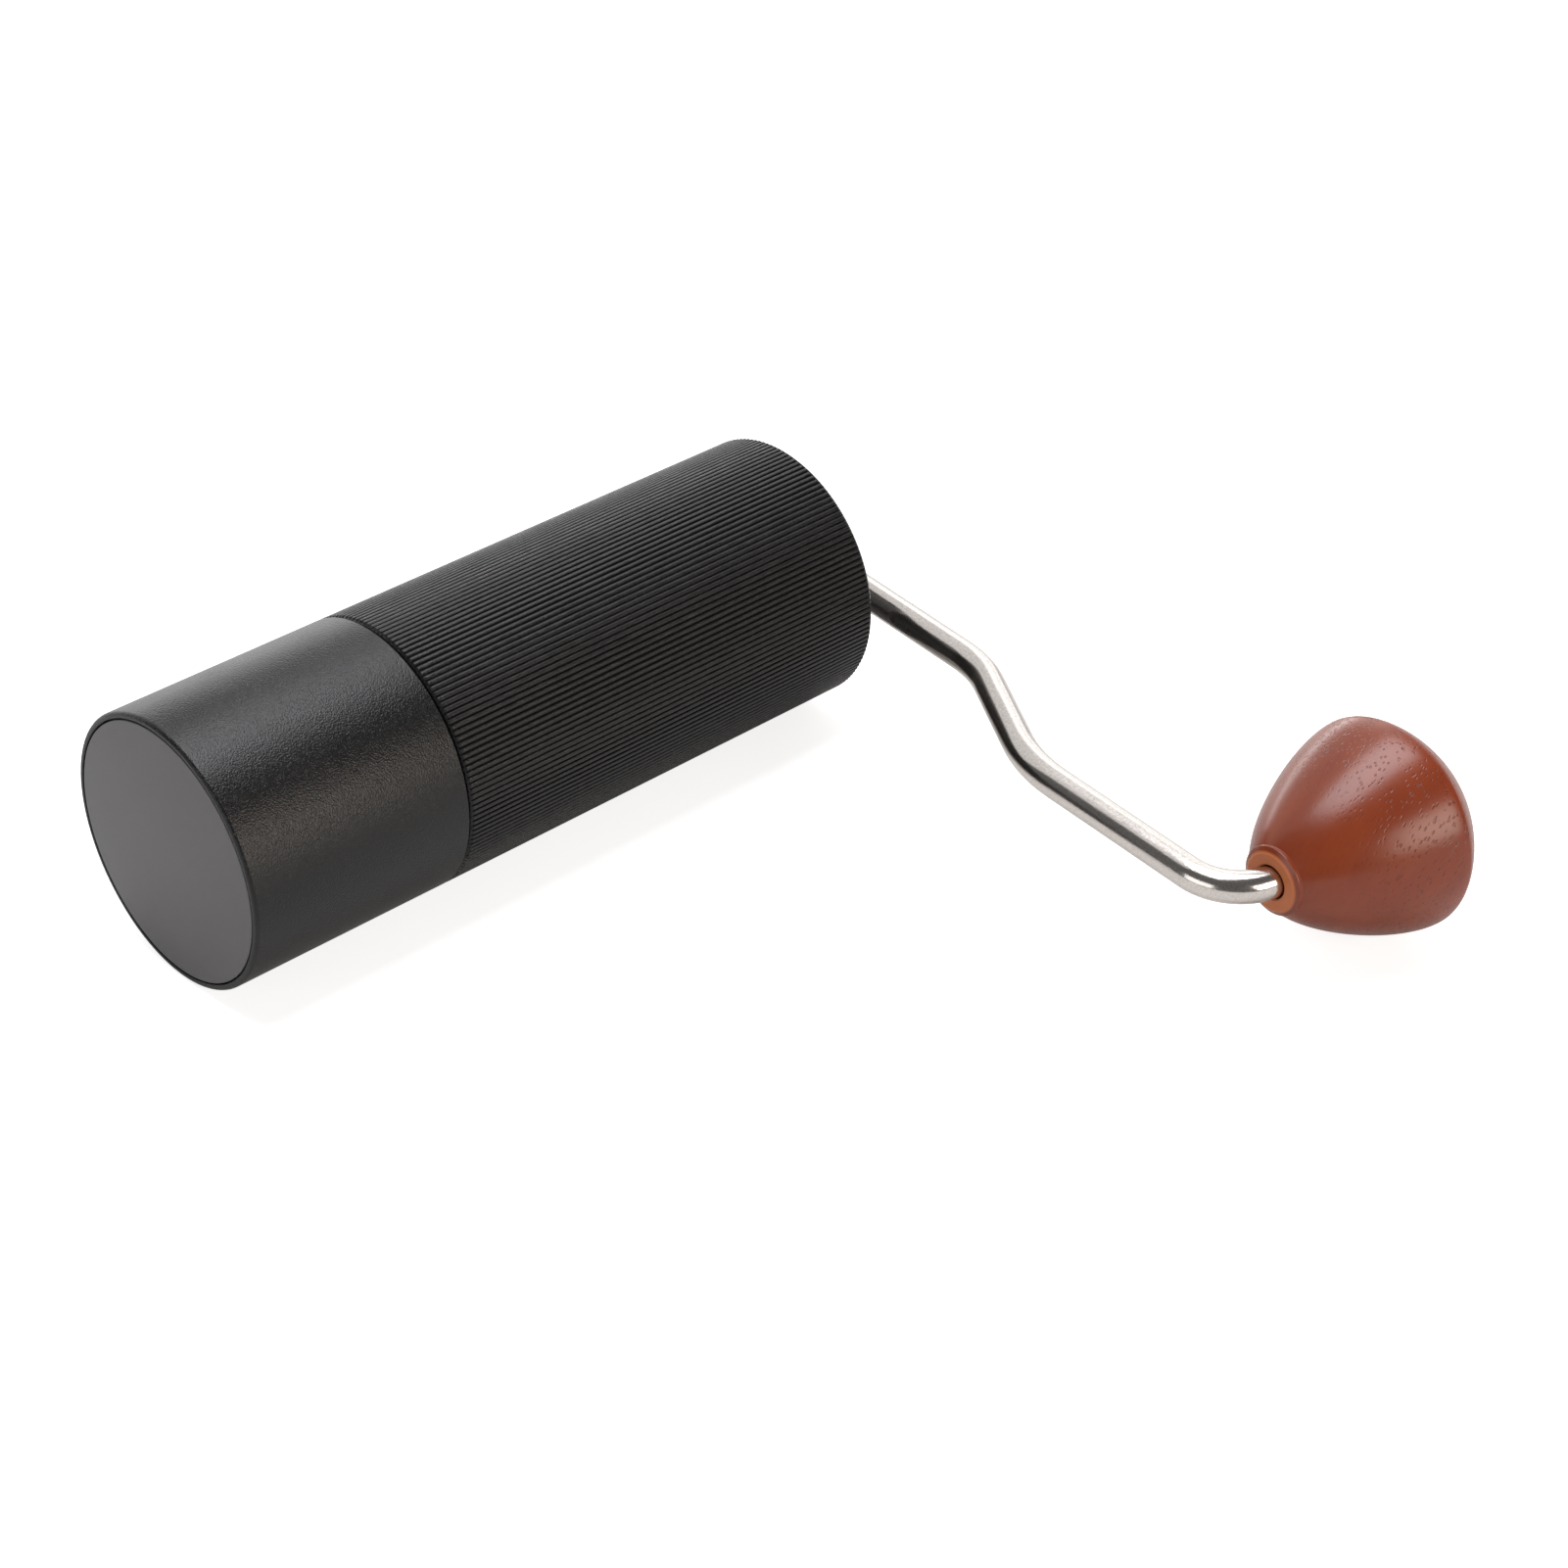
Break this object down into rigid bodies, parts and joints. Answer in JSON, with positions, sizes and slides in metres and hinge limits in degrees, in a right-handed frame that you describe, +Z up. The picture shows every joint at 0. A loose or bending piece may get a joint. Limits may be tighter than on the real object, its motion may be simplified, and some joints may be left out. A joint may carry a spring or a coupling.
{
  "type": "hand crank coffee grinder",
  "caption": "Cylindrical hand coffee grinder lying on its side: ribbed body, smooth cup, bent steel crank and turned wooden knob.",
  "frame": {"origin": "centre of the flat base of the cup", "axes": "+Y along the grinder's axis from its base to the crank, +X to the crank's side, +Z up from the surface it lies on"},
  "size_m": [0.1773, 0.1799, 0.052],
  "materials": {
    "body_sleeve": "fine ribs, bead blasted and anodised black",
    "burr_housing": "anodised dark grey",
    "ring_burr": "hardened steel, ground",
    "burr_snap_ring": "spring steel",
    "lower_bridge": "moulded dark grey",
    "hopper_liner": "drawn stainless tube",
    "upper_bridge": "moulded dark grey",
    "bridge_snap_ring": "spring steel",
    "lower_bearing_outer": "ground bearing steel",
    "upper_bearing_outer": "ground bearing steel",
    "cup_gasket": "black silicone",
    "cup_o_ring": "black silicone",
    "drive_shaft": "turned stainless",
    "lower_bearing_inner": "ground bearing steel",
    "upper_bearing_inner": "ground bearing steel",
    "spring_washer": "stamped",
    "shaft_circlip": "spring steel",
    "lower_bearing_balls": "polished",
    "lower_bearing_cage": "stamped",
    "upper_bearing_balls": "polished",
    "upper_bearing_cage": "stamped",
    "cone_burr": "hardened steel, ground",
    "click_plate": "stamped",
    "burr_spring": "spring wire",
    "adjust_dial": "moulded, notched rim",
    "click_ball": "polished",
    "click_spring": "spring wire",
    "crank_arm": "bright drawn stainless rod, polished",
    "crank_hub": "turned",
    "hub_pin": "ground",
    "hub_circlip": "spring steel",
    "knob_washer": "stamped",
    "knob_screw": "plain",
    "wood_knob": "reddish brown, lacquered",
    "knob_bushing": "turned",
    "knob_cap": "reddish brown, lacquered",
    "hopper_lid": "moulded black",
    "lid_seal": "black silicone",
    "grounds_cup": "bead blasted and anodised black",
    "base_disc": "moulded mid grey, plain"
  },
  "bodies": {
    "body": {"body_sleeve": "body_sleeve", "burr_housing": "burr_housing", "ring_burr": "ring_burr", "burr_snap_ring": "burr_snap_ring", "lower_bridge": "lower_bridge", "hopper_liner": "hopper_liner", "upper_bridge": "upper_bridge", "bridge_snap_ring": "bridge_snap_ring", "lower_bearing_outer": "lower_bearing_outer", "upper_bearing_outer": "upper_bearing_outer", "cup_gasket": "cup_gasket", "cup_o_ring": "cup_o_ring"},
    "shaft": {"drive_shaft": "drive_shaft", "lower_bearing_inner": "lower_bearing_inner", "upper_bearing_inner": "upper_bearing_inner", "spring_washer": "spring_washer", "shaft_circlip": "shaft_circlip"},
    "balls": {"lower_bearing_balls": "lower_bearing_balls", "lower_bearing_cage": "lower_bearing_cage", "upper_bearing_balls": "upper_bearing_balls", "upper_bearing_cage": "upper_bearing_cage"},
    "burr": {"cone_burr": "cone_burr", "click_plate": "click_plate", "burr_spring": "burr_spring"},
    "dial": {"adjust_dial": "adjust_dial", "click_ball": "click_ball", "click_spring": "click_spring"},
    "crank": {"crank_arm": "crank_arm", "crank_hub": "crank_hub", "hub_pin": "hub_pin", "hub_circlip": "hub_circlip", "knob_washer": "knob_washer", "knob_screw": "knob_screw"},
    "knob": {"wood_knob": "wood_knob", "knob_bushing": "knob_bushing", "knob_cap": "knob_cap"},
    "lid": {"hopper_lid": "hopper_lid", "lid_seal": "lid_seal"},
    "cup": {"grounds_cup": "grounds_cup", "base_disc": "base_disc"}
  },
  "joints": [
    {"name": "crank_turn", "type": "hinge", "parent": "body", "child": "shaft", "pos_m": [0, 0.1, 0], "axis": [0, -1, 0], "continuous": true},
    {"name": "ball_orbit", "type": "hinge", "parent": "body", "child": "balls", "pos_m": [0, 0.1, 0], "axis": [0, -1, 0], "continuous": true},
    {"name": "burr_feed", "type": "slide", "parent": "shaft", "child": "burr", "axis": [0, -1, 0], "range_m": [0, 0.0015], "deforming": ["burr_spring"]},
    {"name": "dial_turn", "type": "hinge", "parent": "burr", "child": "dial", "pos_m": [0, 0.038, 0], "axis": [0, -1, 0], "range_deg": [0, 720]},
    {"name": "crank_lift", "type": "slide", "parent": "shaft", "child": "crank", "axis": [0, 1, 0], "range_m": [0, 0.035]},
    {"name": "knob_spin", "type": "hinge", "parent": "crank", "child": "knob", "pos_m": [0.12912, 0.12928, -0.0059], "axis": [0.0575, 0.9983, -0.0026], "continuous": true},
    {"name": "lid_lift", "type": "slide", "parent": "body", "child": "lid", "axis": [0, 1, 0], "range_m": [0, 0.035]},
    {"name": "cup_draw", "type": "slide", "parent": "body", "child": "cup", "axis": [0, -1, 0], "range_m": [0, 0.03]}
  ],
  "couplings": [
    {"joint": "ball_orbit", "follows": "crank_turn", "ratio": 0.41667},
    {"joint": "dial_turn", "follows": "burr_feed", "rad_per_m": 8377.6},
    {"joint": "lid_lift", "follows": "crank_lift", "ratio": 1}
  ]
}
